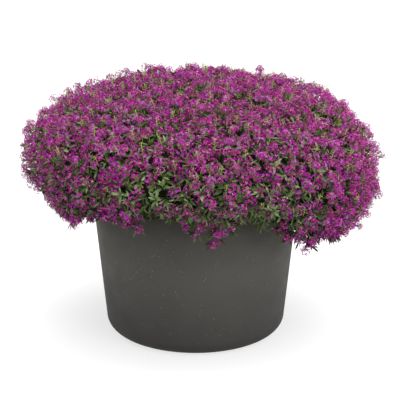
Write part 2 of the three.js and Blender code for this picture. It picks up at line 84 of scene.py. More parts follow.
# The inner foliage. Each layer of its relief has a height, a length and a seed.
CORE = dict(depth=31 * MM, floor=264 * MM, columns=22, rows=30, first_reach=0.17, last_reach=1.78,
            hanging=1.2, wall_gap=12 * MM, least_skirt=8 * MM, rim_gap=8 * MM, hem_drop=20 * MM,
            least_drop=6 * MM)
CORE_RELIEF = ((5 * MM, 45 * MM, 51), (3 * MM, 18 * MM, 52))

# Heads, florets and leaves. A length without MM, here and in the next group, is in millimetres.
HEAD = dict(tries=30000, depth=10.3 * MM, dome=8.1 * MM, flatness=0.72, most_florets=21, least_florets=13,
            lifted_share=0.2, lift=(3, 9), stem=34 * MM, stem_radius=0.55 * MM, root_drop=6 * MM,
            knee_drop=12)
HEM_REACH = 1.82  # where the lowest heads of the cushion are
KNEE = 0.6  # where a head's stem bends, as a share of its length
FLORET_SIZE = 0.85
FLORET_ANGLES = (104, -8)  # degrees of a dome that its florets span, and where they start, from its apex
FLORET_VARIANTS = 6
PEDICEL_RADIUS = 0.26 * MM
BUD_SPREAD = 1.4 * MM
BUD_RISE = 0.9 * MM
LEAF_LENGTH = 17 * MM

# Trailing stems: their roots, ranges of how much each is shorter and nearer to the pot, where its heads are,
# and how far it has to hang down for the first head and for each further one
TRAIL = dict(count=120, reach=1.72, depth=16, shorter=(-14, 0), nearer=(4, 16), head_shares=(1.0, 0.62, 0.28),
             head_reach=1.9, least_drop=-18, more_drop=22)
SHOOT_STEM = 26

# How the flowers swell out of the outline and back: height, length and seed of each layer
SWELLS = ((4.5 * MM, 75 * MM, 3), (2.8 * MM, 36 * MM, 4))

# Soft bumps and hollows of the cushion: azimuth and half width in degrees, reach and half width, and height
BUMPS = ((180, 26, 0.55, 0.06, 15 * MM), (180, 26, 0.68, 0.06, -6 * MM), (2, 26, 0.54, 0.09, 13 * MM),
         (0, 26, 0.8, 0.09, -7 * MM), (60, 30, 0.6, 0.12, 8 * MM), (120, 25, 0.7, 0.1, -7 * MM),
         (184, 24, 1.2, 0.16, 9 * MM), (0, 22, 1.38, 0.16, 9 * MM), (0, 18, 1.52, 0.1, 9 * MM),
         (355, 22, 1.75, 0.14, -10 * MM), (330, 14, 1.75, 0.14, -9 * MM))

# Where leaves show more, or less, than elsewhere: the same, with an amount in place of the height
LEAF_PATCHES = ((239, 8, 0.88, 0.13, -0.65), (259, 6, 0.95, 0.13, 0.9), (286, 6, 1.0, 0.12, -0.4),
                (299, 7, 0.7, 0.07, 0.5), (277, 7, 1.3, 0.18, 0.6), (307, 9, 1.35, 0.25, 0.6))
MOST_LEAFY = 1.7

# Trailing sprays at the hem: azimuth and half width in degrees, and how far each hangs down
SPRAYS = ((278, 5, 40 * MM), (270, 4, 26 * MM), (248, 3, 28 * MM), (208, 3, 16 * MM), (261, 3, 6 * MM),
          (317, 8, 18 * MM), (75, 7, 20 * MM), (110, 8, 12 * MM), (150, 8, 10 * MM))

# Openings in the hem, where the pot shows higher up: azimuth and half width in degrees, and height
HOLLOWS = ((256, 4, 24 * MM), (290, 3, 38 * MM), (299, 3, 44 * MM), (263, 3, 8 * MM))

# The studio is white up to one height and dimmer above another, both as the sine of the angle above level.
# The other two numbers are the brightness of each.
WALL_TO_CEILING = (0.1, 0.24, 1.0, 0.42)


def unit(vectors):
    return vectors / np.linalg.norm(vectors, axis=-1, keepdims=True)


def polar(radius, azimuth, height):
    radius, azimuth, height = np.broadcast_arrays(radius, azimuth, height)
    return np.stack([radius * np.cos(azimuth), radius * np.sin(azimuth), height], axis=-1)


def around(angle, x, y):
    """The direction at an angle from x towards y."""
    return np.cos(angle)[:, None] * x + np.sin(angle)[:, None] * y


def pick(mask, *arrays):
    return [a[mask] for a in arrays]


def fade(value, start, span):
    """0 up to start, and evenly from there up to 1 at the end of the span."""
    return np.clip((value - start) / span, 0, 1)


def outline(azimuth, reach):
    """Radius and height of the cushion. reach is 0 at the apex, 1 at the widest level and 2 at the hem."""
    c, s = np.cos(azimuth), np.sin(azimuth)
    slow = np.sin(2 * azimuth + 5 * reach + 2.8)
    quick = np.sin(7 * azimuth - 9 * reach + 1)
    lump = CUSHION["lump"] * (slow + CUSHION["quick_lump"] * quick)
    widest = CUSHION["radius"] + CUSHION["lean_right"] * c
    level = CUSHION["widest"] + CUSHION["widest_lean"] * c
    rise = np.where(s < 0, CUSHION["hem_front"], CUSHION["hem_back"])
    hem = CUSHION["hem"] + CUSHION["hem_lean"] * c + rise * s * s
    power = 2 / CUSHION["fullness"]
    a = np.clip(reach, 0, 1) * math.pi / 2
    sine, cosine = np.sin(a), np.clip(np.cos(a), 0, 1)
    upper_r = widest * sine**power + lump * sine
    upper_z = level + (CUSHION["top"] - level) * cosine**power + lump * cosine
    b = (np.clip(reach, 1, CUSHION["last_reach"]) - 1) * math.pi / 2
    lower_r = CUSHION["hem_radius"] + (widest - CUSHION["hem_radius"]) * np.cos(b) + lump
    lower_z = level - (level - hem) * np.sin(b)
    return np.where(reach <= 1, upper_r, lower_r), np.where(reach <= 1, upper_z, lower_z)


def on_cushion(azimuth, reach):
    """Points of the outline, and the outward normals there."""
    step = 0.02
    r, z = outline(azimuth, reach)
    r_down, z_down = outline(azimuth, reach + step)
    r_up, z_up = outline(azimuth, np.maximum(reach - step, 0))
    slope = np.arctan2(z_down - z_up, r_down - r_up)
    return polar(r, azimuth, z), polar(-np.sin(slope), azimuth, np.cos(slope))


def waves(points, length, seed):
    """Smooth noise from about -1 to 1, made of plane waves of about the given length."""
    count, slowest, quickest, height = 14, 0.6, 1.5, 0.6
    rng = default_rng(seed)
    ways = unit(rng.normal(size=(count, 3))) * (TURN / length) * rng.uniform(slowest, quickest, (count, 1))
    phases = rng.uniform(0, TURN, count)
    return np.sin(points @ ways.T + phases).sum(axis=-1) / math.sqrt(count / 2) * height


def relief(points, layers):
    return sum(height * waves(points, length, seed) for height, length, seed in layers)


def scatter(rng, tries, low, high, spacing):
    """Azimuths and reaches of sites on the cushion, no two nearer than spacing(azimuth, reach, point)."""
    levels = 200
    steps = np.linspace(low, high, levels)
    ring, height = outline(np.zeros(levels), steps)
    share = np.cumsum(np.hypot(np.gradient(ring), np.gradient(height)) * ring)
    reach = np.interp(rng.random(tries), share / share[-1], steps)
    azimuth = rng.random(tries) * TURN
    points, _ = on_cushion(azimuth, reach)
    gaps = spacing(azimuth, reach, points)
    chosen, kept = np.empty((tries, 3)), []
    for k, point in enumerate(points):
        others = chosen[: len(kept)]
        if len(kept) == 0 or ((others - point) ** 2).sum(axis=1).min() > gaps[k] ** 2:
            chosen[len(kept)] = point
            kept.append(k)
    return azimuth[kept], reach[kept]


def evenly(gap):
    """The same spacing everywhere."""
    return lambda azimuth, reach, points: np.full(len(reach), gap)


def axes_of(z, spin):
    """Three axes for each direction z, turned about it by spin."""
    steep = 0.9
    helper = np.where(np.abs(z[..., 2:3]) < steep, UP, np.array([1.0, 0.0, 0.0]))
    x = unit(np.cross(helper, z))
    y = np.cross(z, x)
    c, s = np.cos(spin)[..., None], np.sin(spin)[..., None]
    return c * x + s * y, c * y - s * x, z


def add_object(name, data):
    thing = bpy.data.objects.new(name, data)
    bpy.context.scene.collection.objects.link(thing)
    return thing


def place_piece(name, mesh, nodes):
    piece = add_object(name, mesh)
    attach(piece, "root")
    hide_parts(*nodes)


class Soup:
    """Triangles for one piece. Each point has a tone, its own luck, and along, its place on its organ."""

    def __init__(self):
        self.parts, self.count = [], 0

    def add(self, points, faces, finish, tone, along):
        copies, each = points.shape[:2]
        starts = self.count + each * np.arange(copies)
        self.parts.append((points.reshape(-1, 3), (faces[None] + starts[:, None, None]).reshape(-1, 3),
                           np.full(copies * len(faces), finish), np.repeat(tone, each),
                           np.tile(along, copies)))
        self.count += copies * each

    def set_out(self, shape, finish, tone, centres, x, y, z, size):
        """Copies of a shape, one for each centre with its tone, axes and size."""
        template, faces, along = shape
        t = template[None]
        local = t[..., 0:1] * x[:, None] + t[..., 1:2] * y[:, None] + t[..., 2:3] * z[:, None]
        self.add(centres[:, None] + size[:, None, None] * local, faces, finish, tone, along)

    def add_solid(self, points, faces, finish):
        """One closed body of triangles and quads."""
        points = np.array(points)
        faces = [t for f in faces for t in ([f] if len(f) == 3 else [f[:3], (f[0], *f[2:])])]
        self.add(points[None], np.array(faces), finish, np.array([0.5]), np.zeros(len(points)))

    def piece(self, name, finishes, nodes, slot):
        points, faces, slots, tones, alongs = (np.concatenate(part) for part in zip(*self.parts))
        mesh = bpy.data.meshes.new(name)
        mesh.vertices.add(len(points))
        mesh.vertices.foreach_set("co", points.astype(np.float32).ravel())
        mesh.loops.add(faces.size)
        mesh.loops.foreach_set("vertex_index", faces.astype(np.int32).ravel())
        mesh.polygons.add(len(faces))
        mesh.polygons.foreach_set("loop_start", np.arange(0, faces.size, 3, dtype=np.int32))
        mesh.polygons.foreach_set("material_index", slots.astype(np.int32))
        for label, values in (("tone", tones), ("along", alongs)):
            attribute = mesh.attributes.new(label, "FLOAT", "POINT")
            attribute.data.foreach_set("value", values.astype(np.float32))
        mesh.update(calc_edges=True)
        mesh.shade_smooth()
        for finish in finishes:
            mesh.materials.append(finish.material)
        place_piece(name, mesh, nodes)


# Shapes: points in metres, faces, and along


def petals(rng):
    """Four obovate petals in a cross, each a cupped blade of three faces."""
    blade = np.array([(0.3, 0, 0), (1.6, 0.85, 0.3), (1.6, -0.85, 0.3), (2.7, 0.6, 0.1),
                      (2.7, -0.6, 0.1)]) * MM
    blade_faces = np.array([(0, 2, 1), (1, 2, 4), (1, 4, 3)])
    points, faces = [], []
    for k in range(4):
        a = (k + rng.uniform(-0.07, 0.07)) * TURN / 4
        turn = np.array([[math.cos(a), math.sin(a), 0], [-math.sin(a), math.cos(a), 0], [0, 0, 1]])
        size = rng.uniform(0.88, 1.08)
        points.append(blade @ turn * size + UP * rng.uniform(-0.2, 0.2) * MM * (blade[:, :1] / (2 * MM)))
        faces.append(blade_faces + len(blade) * k)
    along = np.tile([0, 0.6, 0.6, 1.0, 1.0], 4)
    return np.concatenate(points), np.concatenate(faces), along


def cone(radius, low, high, sides):
    """An open cone, from a ring up to its tip."""
    angles = np.arange(sides) * TURN / sides
    ring = np.stack([radius * np.cos(angles), radius * np.sin(angles), np.full(sides, low)], axis=-1)
    points = np.vstack([ring, [0, 0, high]])
    faces = np.array([(k, (k + 1) % sides, sides) for k in range(sides)])
    return points, faces, np.append(np.zeros(sides), 1.0)


def spindle(radius, half, sides):
    """A closed double cone."""
    points, faces, _ = cone(radius, 0, half, sides)
    points = np.vstack([points, [0, 0, -half]])
    below = np.array([((k + 1) % sides, k, sides + 1) for k in range(sides)])
    return points, np.vstack([faces, below]), np.append(np.full(sides, 0.5), [1.0, 0.0])


def leaf(arch, fold):
    """A lanceolate leaf of unit length and width along x, folded along its midrib and arched down."""
    points, along = [], []
    for share, half in ((0.0, 0.0), (0.3, 0.44), (0.68, 0.5), (1.0, 0.0)):
        bend = -arch * share * share
        row = [(share, half, bend + fold), (share, 0, bend), (share, -half, bend + fold)]
        row = row if half else row[1:2]
        points += row
        along += [share] * len(row)
    faces = [(0, 2, 1), (0, 3, 2), (1, 2, 5), (1, 5, 4), (2, 3, 6), (2, 6, 5), (4, 5, 7), (5, 6, 7)]
    return np.array(points), np.array(faces), np.array(along)


THROAT = cone(0.85 * MM, 0.2 * MM, 0.9 * MM, 3)
SPIKE = cone(1.0, 0.0, 1.0, 3)
BUD_SHAPE = spindle(0.62 * MM, 0.95 * MM, 3)
POD_SHAPE = spindle(1.0 * MM, 1.25 * MM, 3)
CRUMB = spindle(1.6 * MM, 1.2 * MM, 4)
LEAF_SHAPES = [leaf(arch, fold) for arch, fold in ((0.1, 0.05), (0.25, 0.08), (-0.08, 0.06), (0.35, 0.03))]


def rods(soup, starts, ends, start_radius, end_radius, finish, tone, along):
    """Three-sided stems, open at their ends, which lie among or inside other things."""
    x, y, _ = axes_of(unit(ends - starts), np.zeros(len(starts)))
    rings = []
    for places, radius in ((starts, start_radius), (ends, end_radius)):
        for k in range(3):
            a = k * TURN / 3
            rings.append(places + radius * (math.cos(a) * x + math.sin(a) * y))
    faces = np.array([(k, (k + 1) % 3, 3 + (k + 1) % 3) for k in range(3)]
                     + [(k, 3 + (k + 1) % 3, 3 + k) for k in range(3)])
    soup.add(np.stack(rings, axis=1), faces, finish, tone, np.repeat(along, 3))


# Materials


def srgb(red, green, blue):
    """A colour as seen on a screen, from 0 to 255, in the renderer's linear numbers."""
    parts = [v / 255 for v in (red, green, blue)]
    return tuple(v / 12.92 if v <= 0.04045 else ((v + 0.055) / 1.055) ** 2.4 for v in parts) + (1.0,)


class Nodes:
    """The nodes of a material or a world, built up around its main one."""

    def __init__(self, owner, main, **inputs):
        owner.use_nodes = True
        self.tree = owner.node_tree
        self.main = self.feed(self.tree.nodes[main], **inputs)

    def fill(self, socket, value):
        """Links a socket to an output, or gives it a value."""
        if isinstance(value, bpy.types.NodeSocket):
            self.tree.links.new(value, socket)
        else:
            socket.default_value = value

    def feed(self, node, **inputs):
        """Fills inputs of a node. An underscore stands for a space in the name of an input."""
        for name, value in inputs.items():
            self.fill(node.inputs[name.replace("_", " ")], value)
        return node

    def node(self, kind, **inputs):
        return self.feed(self.tree.nodes.new("ShaderNode" + kind), **inputs)

    def attribute(self, name):
        node = self.node("Attribute")
        node.attribute_name = name
        return node.outputs["Fac"]

    def place(self):
        return self.node("TexCoord").outputs["Object"]

    def height(self):
        return self.node("SeparateXYZ", Vector=self.place()).outputs["Z"]

    def noise(self, scale, detail=3.0, roughness=0.55):
        node = self.node("TexNoise", Vector=self.place(), Scale=scale, Detail=detail, Roughness=roughness)
        return node.outputs["Fac"]

    def cells(self, scale):
        node = self.node("TexVoronoi", Vector=self.place(), Scale=scale)
        return node.outputs["Distance"], node.outputs["Color"]

    def ramp(self, factor, *stops):
        """A colour for each value of a factor. A stop is a position with a red, a green and a blue."""
        node = self.node("ValToRGB", Fac=factor)
        elements = node.color_ramp.elements
        while len(elements) < len(stops):
            elements.new(0.5)
        for element, (position, *colour) in zip(elements, stops):
            element.position = position
            element.color = srgb(*colour)
        return node.outputs["Color"]

    def levels(self, factor, low, high, start=0.0, end=1.0):
        node = self.node("MapRange", Value=factor, From_Min=low, From_Max=high, To_Min=start, To_Max=end)
        return node.outputs["Result"]

    def mix(self, factor, first, second, mode="MIX"):
        node = self.node("Mix")
        node.data_type = "RGBA"
        node.blend_type = mode
        for index, value in ((0, factor), (6, first), (7, second)):
            self.fill(node.inputs[index], value)
        return node.outputs[2]

    def tinted(self, colour, *tints):
        """A colour multiplied by each tint in turn."""
        for tint in tints:
            colour = self.mix(1.0, colour, tint, "MULTIPLY")
        return colour

    def product(self, first, second):
        node = self.node("Math")
        node.operation = "MULTIPLY"
        for index, value in enumerate((first, second)):
            self.fill(node.inputs[index], value)
        return node.outputs[0]


class Finish(Nodes):
    """A node material with one Principled shader."""

    def __init__(self, name, **inputs):
        self.material = bpy.data.materials.new(name)
        super().__init__(self.material, "Principled BSDF", **inputs)

    def colour(self, output):
        self.feed(self.main, Base_Color=output)

    def bump(self, height, strength, distance):
        node = self.node("Bump", Height=height, Strength=strength, Distance=distance)
        self.feed(self.main, Normal=node.outputs["Normal"])


def petal_finish():
    """Deep to pale magenta by each floret's luck, darker in the throat, and finely mottled."""
    f = Finish("petal", Roughness=0.8, Specular_IOR_Level=0.1)
    hue = f.ramp(f.attribute("tone"), (0.0, 112, 2, 86), (0.3, 198, 4, 160), (0.75, 218, 12, 204),
                 (1.0, 246, 132, 240))
    shade = f.ramp(f.attribute("along"), (0.0, 120, 110, 116), (0.5, 228, 224, 228), (1.0, 255, 255, 255))
    fine = f.noise(900, 2)
    mottle = f.ramp(fine, (0.3, 205, 190, 205), (0.7, 255, 255, 255))
    warmth = f.ramp(f.noise(65, 2), (0.4, 255, 236, 232), (0.6, 240, 248, 255))
    f.colour(f.tinted(hue, shade, mottle, warmth))
    f.bump(fine, 0.3, 0.2 * MM)
    return f


def centre_finish():
    """The floret's throat: dark purple in most, and orange to cream in some."""
    f = Finish("floret_centre", Roughness=0.55, Specular_IOR_Level=0.25)
    hue = f.ramp(f.attribute("tone"), (0.0, 96, 16, 66), (0.7, 140, 30, 90), (0.8, 246, 140, 84),
                 (1.0, 255, 232, 190))
    f.colour(f.mix(f.levels(f.noise(1600), 0.35, 0.65, 0.0, 0.2), hue, srgb(130, 128, 50)))
    f.bump(f.noise(2400), 0.4, 0.2 * MM)
    return f


def bud_finish():
    """Closed buds and seed pods: green, tan or purple by luck, with darker green flecks."""
    f = Finish("bud", Roughness=0.6, Specular_IOR_Level=0.25)
    hue = f.ramp(f.attribute("tone"), (0.0, 168, 182, 100), (0.4, 160, 140, 92), (0.65, 170, 86, 112),
                 (1.0, 158, 28, 116))
    f.colour(f.mix(f.levels(f.noise(1200), 0.4, 0.7, 0.0, 0.4), hue, srgb(90, 104, 52)))
    f.bump(f.noise(2000), 0.4, 0.2 * MM)
    return f


def stem_finish():
    """Thin green stems, darker towards the root, with brown blotches."""
    f = Finish("stem", Roughness=0.55, Specular_IOR_Level=0.25)
    hue = f.ramp(f.attribute("along"), (0.0, 84, 88, 44), (0.5, 112, 128, 60), (0.8, 182, 194, 100),
                 (1.0, 214, 220, 132))
    f.colour(f.mix(f.levels(f.noise(700), 0.35, 0.7, 0.0, 0.35), hue, srgb(110, 80, 62)))
    f.bump(f.noise(1500), 0.3, 0.2 * MM)
    return f


def leaf_finish():
    """Grey-green leaves, darker at the root, with painted shade low on the bush, and finely mottled."""
    f = Finish("leaf", Roughness=0.55, Specular_IOR_Level=0.35)
    hue = f.ramp(f.attribute("tone"), (0.0, 46, 60, 26), (0.4, 76, 95, 44), (0.75, 112, 132, 76),
                 (1.0, 162, 178, 130))
    depth = f.ramp(f.attribute("along"), (0.0, 150, 160, 130), (0.5, 240, 244, 236), (1.0, 255, 255, 250))
    # Painted shade: leaves low on the bush are darker, where the bush shades itself
    low_down = f.ramp(f.levels(f.height(), 0.22, 0.34), (0.0, 172, 174, 168), (0.5, 210, 212, 206),
                      (1.0, 255, 255, 255))
    fine = f.noise(650, 3)
    mottle = f.ramp(fine, (0.3, 200, 205, 190), (0.7, 255, 255, 255))
    f.colour(f.tinted(hue, depth, low_down, mottle))
    f.bump(fine, 0.35, 0.3 * MM)
    return f


def core_finish():
    """The shaded inside of the bush: leaves painted dark as shade, with less painted shade near the top, and
    brown stems.
    """
    f = Finish("inner_foliage", Roughness=0.85, Specular_IOR_Level=0.1)
    # Painted shade: the inner foliage is near black, and lighter near the top where less shade falls
    leaves = f.ramp(f.noise(160, 5, 0.7), (0.3, 12, 15, 8), (0.5, 24, 30, 15), (0.68, 44, 54, 27))
    leaves = f.mix(f.levels(f.height(), 0.365, 0.415, 0.0, 0.4), leaves, srgb(76, 86, 46))
    f.colour(f.mix(f.levels(f.noise(420, 2), 0.56, 0.7), leaves, srgb(40, 32, 24)))
    f.bump(f.noise(220, 5, 0.7), 1.0, 4 * MM)
    return f


def pot_finish():
    """Charcoal composite with faint clouds, a fine grain, and tan and pale specks, with painted shade at both
    ends.
    """
    f = Finish("pot_composite", Specular_IOR_Level=0.2)
    clouds = f.ramp(f.noise(7, 4, 0.6), (0.3, 72, 71, 68), (0.7, 79, 77, 73))
    grain = f.noise(900, 2)
    grained = f.tinted(clouds, f.ramp(grain, (0.3, 236, 236, 236), (0.7, 255, 255, 255)))
    distance, luck = f.cells(200)
    dot = f.levels(distance, 0.13, 0.07)
    chosen = f.levels(f.ramp(luck, (0.0, 0, 0, 0), (1.0, 255, 255, 255)), 0.6, 0.64)
    speck = f.ramp(f.noise(60, 1), (0.4, 150, 112, 78), (0.6, 176, 168, 150))
    # Painted shade: darker towards the foot, which faces the floor, and painted shadow under the overhanging
    # foliage
    shade = f.ramp(f.levels(f.height(), 0.0, 0.26), (0.0, 120, 120, 122), (0.09, 204, 204, 206),
                   (0.5, 255, 255, 255), (0.58, 255, 255, 253), (0.76, 230, 228, 222), (0.83, 211, 208, 200),
                   (0.89, 181, 178, 168), (1.0, 104, 101, 92))
    f.colour(f.tinted(f.mix(f.product(dot, chosen), grained, speck), shade))
    f.feed(f.main, Roughness=f.levels(f.noise(30, 3), 0.3, 0.7, 0.62, 0.78))
    f.bump(grain, 0.25, 0.3 * MM)
    return f


def soil_finish():
    """Moist potting mix: dark fibre with paler bark and mineral grains."""
    f = Finish("potting_mix", Roughness=0.92)
    fibre = f.ramp(f.noise(140, 5, 0.7), (0.3, 30, 22, 16), (0.55, 58, 44, 32), (0.75, 96, 76, 54))
    distance, _ = f.cells(260)
    f.colour(f.mix(f.levels(distance, 0.16, 0.1, 0.0, 0.6), fibre, srgb(150, 140, 124)))
    f.bump(f.noise(260, 5, 0.7), 1.0, 2 * MM)
    return f


# Pot and soil


def pot_radius(height):
    return POT["base_radius"] + POT["taper"] * (height - POT["edge_round"])


def arc(centre, radius, start, end, steps):
    """Points on an arc of a profile. Angles are in degrees, from the radial direction upwards."""
    angles = np.radians(np.linspace(start, end, steps))
    return [(centre[0] + radius * math.cos(a), centre[1] + radius * math.sin(a)) for a in angles]


def lathe(profile, sides):
    """Points and faces of a profile that starts and ends on the axis, turned about it."""
    angles = np.arange(sides) * TURN / sides
    points = [(0.0, 0.0, profile[0][1]), (0.0, 0.0, profile[-1][1])]
    rings = profile[1:-1]
    for r, z in rings:
        points += [(r * math.cos(a), r * math.sin(a), z) for a in angles]
    at = lambda ring, k: 2 + ring * sides + k % sides
    last = len(rings) - 1
    faces = [(0, at(0, k + 1), at(0, k)) for k in range(sides)]
    for ring in range(last):
        faces += [(at(ring, k), at(ring, k + 1), at(ring + 1, k + 1), at(ring + 1, k)) for k in range(sides)]
    faces += [(at(last, k), at(last, k + 1), 1) for k in range(sides)]
    return points, faces


def mesh_of(name, points, faces):
    mesh = bpy.data.meshes.new(name)
    mesh.from_pydata(points, [], faces)
    mesh.update()
    return mesh


def drilled(mesh, holes):
    """The mesh with upright round holes (x, y, radius) cut through its lowest part."""
    body = add_object("uncut", mesh)
    cutters = []
    low, high, sides = -5 * MM, 20 * MM, 24
    for x, y, radius in holes:
        points, faces = lathe([(0, low), (radius, low), (radius, high), (0, high)], sides)
        cutter = add_object("drill", mesh_of("drill", [(x + p[0], y + p[1], p[2]) for p in points], faces))
        modifier = body.modifiers.new("drill", "BOOLEAN")
        modifier.object = cutter
        modifier.operation = "DIFFERENCE"
        modifier.solver = "EXACT"
        cutters.append(cutter)
    bpy.context.view_layer.update()
    cut = bpy.data.meshes.new_from_object(body.evaluated_get(bpy.context.evaluated_depsgraph_get()))
    for extra in [body, *cutters]:
        bpy.data.objects.remove(extra)
    return cut


def make_pot():
    p = POT
    top, rim, edge = p["height"], p["rim_round"], p["edge_round"]
    outer = pot_radius(top)
    inner = outer - p["wall"]
    outer_wall = [(pot_radius(z), z) for z in np.linspace(edge, top - rim, p["outer_steps"])[1:]]
    inner_heights = np.linspace(top - rim, p["inner_edge"], p["inner_steps"])
    inner_wall = [(pot_radius(z) - p["wall"], z) for z in inner_heights]
    profile = [(0, 0), *arc((p["base_radius"] - edge, edge), edge, -90, 0, p["edge_steps"]), *outer_wall,
               *arc((outer - rim, top - rim), rim, 20, 90, p["rim_steps"]),
               *arc((inner + rim, top - rim), rim, 90, 160, p["rim_steps"]),
               *inner_wall, (p["inner_floor"], p["floor"]), (0, p["floor"])]
    holes = []
    for k in range(p["drain_count"]):
        a = (k + p["drain_turn"]) / p["drain_count"] * TURN
        holes.append((p["drain_circle"] * math.cos(a), p["drain_circle"] * math.sin(a), p["drain_radius"]))
    mesh = drilled(mesh_of("pot_body", *lathe(profile, p["sides"])), holes)
    mesh.materials.clear()
    mesh.materials.append(pot_finish().material)
    mesh.shade_smooth()
    mesh.set_sharp_from_angle(angle=math.radians(p["sharp_angle"]))
    place_piece("planter", mesh, ["pot"])


def make_soil():
    """Potting mix up to its lumpy surface, with loose crumbs of bark on it."""
    rng = default_rng(31)
    top, gap, count = SOIL["top"], SOIL["gap"], SOIL["crumbs"]
    wall_at = lambda z: pot_radius(z) - POT["wall"] - gap
    surface_at = lambda r: top + SOIL["crown"] * (1 - (r / wall_at(top)) ** 2)
    low = POT["floor"] + gap / 2
    profile = [(0, low), (POT["inner_floor"] - gap, low)]
    profile += [(wall_at(z), z) for z in np.linspace(POT["inner_edge"] + gap, top, SOIL["wall_steps"])]
    profile += [(r, surface_at(r)) for r in np.linspace(wall_at(top), 0, SOIL["top_steps"])[1:]]
    points, faces = lathe(profile, SOIL["sides"])
    points = np.array(points)
    upper = points[:, 2] > top - 1 * MM
    points[upper, 2] += SOIL["lump"] * waves(points[upper], SOIL["lump_length"], 5)
    soup = Soup()
    soup.add_solid(points, faces, 0)
    radius = wall_at(top) * SOIL["crumb_reach"] * np.sqrt(rng.random(count))
    centres = polar(radius, rng.random(count) * TURN, surface_at(radius))
    x, y, z = axes_of(unit(rng.normal(size=(count, 3))), rng.random(count) * TURN)
    size = rng.uniform(0.5, 1.4, count)
    soup.set_out(CRUMB, 0, rng.random(count), centres, x, y, z, size)
    soup.piece("soil_surface", [soil_finish()], ["potting_soil"], "soil")


# Where flower bunches and plants are in the model, and which piece a point of the bush belongs to

plant_nodes = [f"plant_{k + 1}" for k in range(PLANT_COUNT + 1)]
bunch_nodes = sorted(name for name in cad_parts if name.startswith("flower_bunch"))


def sector_of(points):
    """0 for the plant in the middle, or else the number of the plant round it whose wedge holds the point."""
    azimuth = np.arctan2(points[..., 1], points[..., 0])
    wedge = 1 + np.round(azimuth / (TURN / PLANT_COUNT)).astype(int) % PLANT_COUNT
    return np.where(np.hypot(points[..., 0], points[..., 1]) < MIDDLE_RADIUS, 0, wedge)


bunch_places = np.array([np.mean(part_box(name), axis=0) for name in bunch_nodes])
bunch_sectors = sector_of(bunch_places)


def flower_sector(points):
    """The wedge of the nearest flower bunch."""
    spans = ((points[:, None] - bunch_places[None]) ** 2).sum(axis=-1)
    return bunch_sectors[spans.argmin(axis=1)]


def by_sector(soups, sector):
    """Each piece's triangles, and the mask of what joins them."""
    return [(soup, sector == k) for k, soup in enumerate(soups)]


# Where things grow


def turn_between(azimuth, degrees):
    return (np.degrees(azimuth) - degrees + 180) % 360 - 180


def patches(azimuth, reach, features):
    """The sum at each place of some soft oval features of the cushion."""
    total = np.zeros_like(azimuth)
    for centre, half_turn, level, half_reach, height in features:
        off = (turn_between(azimuth, centre) / half_turn) ** 2 + ((reach - level) / half_reach) ** 2
        total = total + height * np.exp(-off)
    return total


def swell(azimuth, reach, points):
    """How far the flowers stand out of the outline, or lie under it, in soft lumps."""
    return relief(points, SWELLS) + patches(azimuth, reach, BUMPS)


def leafiness(azimuth, reach):
    """0 on top and on the right, where flowers hide the leaves, to 1 low in front, and more in places."""
    anywhere, more_in_front, less_on_right = 0.28, 0.75, 0.7
    right = fade(np.cos(azimuth), 0.5, 0.3)
    front = anywhere + more_in_front * np.clip(-np.sin(azimuth), 0, 1) - less_on_right * right
    low_down = fade(reach, 0.72, 0.24) * np.clip(front, 0, 1)
    return np.clip(low_down + patches(azimuth, reach, LEAF_PATCHES), 0, MOST_LEAFY)


def head_spacing(azimuth, reach, points):
    """Close on top and on the right, and wider towards the hem in front, where the leaves show."""
    least, wider, uneven = 11.3, 9.0, 1.1
    return (least + wider * leafiness(azimuth, reach) + uneven * waves(points, 60 * MM, 8)) * MM


def shoot_spacing(azimuth, reach, points):
    """Leafy shoots are few on top and many where the flowers stand wider."""
    most, closer, uneven = 44, 29, 2
    leafy = np.clip(1.3 * leafiness(azimuth, reach), 0, 1)
    return (most - closer * leafy + uneven * waves(points, 50 * MM, 18)) * MM


def along_hem(azimuth, features):
    """The largest of some features of the hem at an azimuth, each fading out over its half width."""
    most = np.zeros_like(azimuth)
    for centre, half_width, height in features:
        most = np.maximum(most, height * np.exp(-((turn_between(azimuth, centre) / half_width) ** 2)))
    return most


def sites_above_hem(rng, tries, low, high, spacing):
    """Azimuths, reaches, points and normals of sites on the cushion, clear of the openings in the hem."""
    azimuth, reach = scatter(rng, tries, low, high, spacing)
    hem = outline(azimuth, np.full(len(azimuth), HEM_REACH))[1]
    clear = on_cushion(azimuth, reach)[0][:, 2] > hem + along_hem(azimuth, HOLLOWS)
    azimuth, reach = azimuth[clear], reach[clear]
    return azimuth, reach, *on_cushion(azimuth, reach)


class Trails:
    """Stems that hang over the hem of the cushion, with leaves and a few heads."""

    def __init__(self):
        rng = default_rng(15)
        n = self.count = TRAIL["count"]
        self.azimuth = (np.arange(n) + rng.uniform(-0.3, 0.3, n)) / n * TURN
        hang = along_hem(self.azimuth, SPRAYS) - along_hem(self.azimuth, HOLLOWS)
        self.drop = hang + rng.uniform(*TRAIL["shorter"], n) * MM
        sites, normals = on_cushion(self.azimuth, np.full(n, TRAIL["reach"]))
        self.roots = sites - normals * TRAIL["depth"] * MM
        radius = np.hypot(sites[:, 0], sites[:, 1]) - rng.uniform(*TRAIL["nearer"], n) * MM
        self.tips = polar(radius, self.azimuth + rng.normal(0, 0.02, n), sites[:, 2] - self.drop)


def cushion_heads(rng):
    """Places, roots, normals, sizes and reaches of the cushion's heads, and which stand out of the rest."""
    azimuth, reach, sites, normals = sites_above_hem(rng, HEAD["tries"], 0.0, HEM_REACH, head_spacing)
    n = len(azimuth)
    lift = swell(azimuth, reach, sites) + rng.normal(0, 3.2 * MM, n)
    lifted = rng.random(n) < HEAD["lifted_share"]
    lift = np.where(lifted, lift + rng.uniform(*HEAD["lift"], n) * MM, lift - 1 * MM)
    places = sites + normals * (lift - HEAD["depth"])[:, None]
    roots = sites - normals * HEAD["stem"] - UP * HEAD["root_drop"] + rng.normal(0, 2 * MM, (n, 3))
    size = rng.uniform(0.8, 1.1, n) + 0.25 * np.minimum(leafiness(azimuth, reach), 1)
    return places, roots, normals, size, reach, lifted


